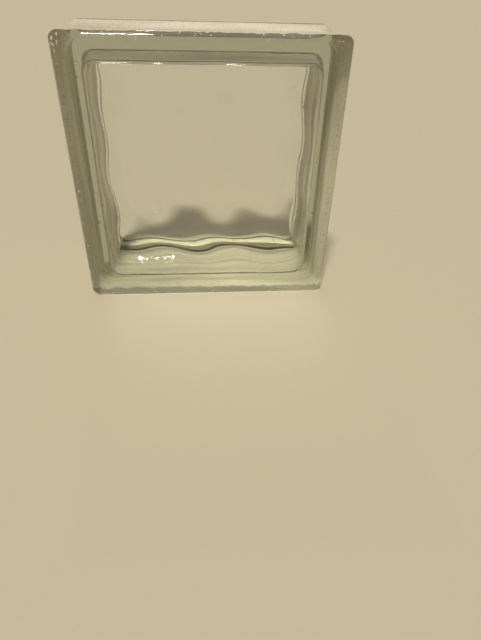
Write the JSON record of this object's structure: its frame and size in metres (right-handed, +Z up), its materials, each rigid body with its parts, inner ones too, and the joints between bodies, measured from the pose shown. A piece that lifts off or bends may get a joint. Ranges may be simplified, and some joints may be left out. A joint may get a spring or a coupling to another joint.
{
  "type": "glass block",
  "caption": "Hollow square building block of pressed clear glass, two waved trays melted rim to rim, with a recessed mortar channel round its four sides.",
  "frame": {"origin": "middle of the footprint, at the level of the bottom rims that the block stands on", "axes": "+Z up, X along the width, Y through the thickness: the front face looks along -Y and the back face along +Y"},
  "size_m": [0.19, 0.08, 0.19],
  "materials": {
    "pressed_glass": "clear soda-lime glass with a faint green cast, fire-polished outside, waved inside, with a pale translucent mortar-bonding coat on the four sides"
  },
  "bodies": {
    "root": {"front_half": "pressed_glass", "back_half": "pressed_glass"}
  },
  "joints": []
}
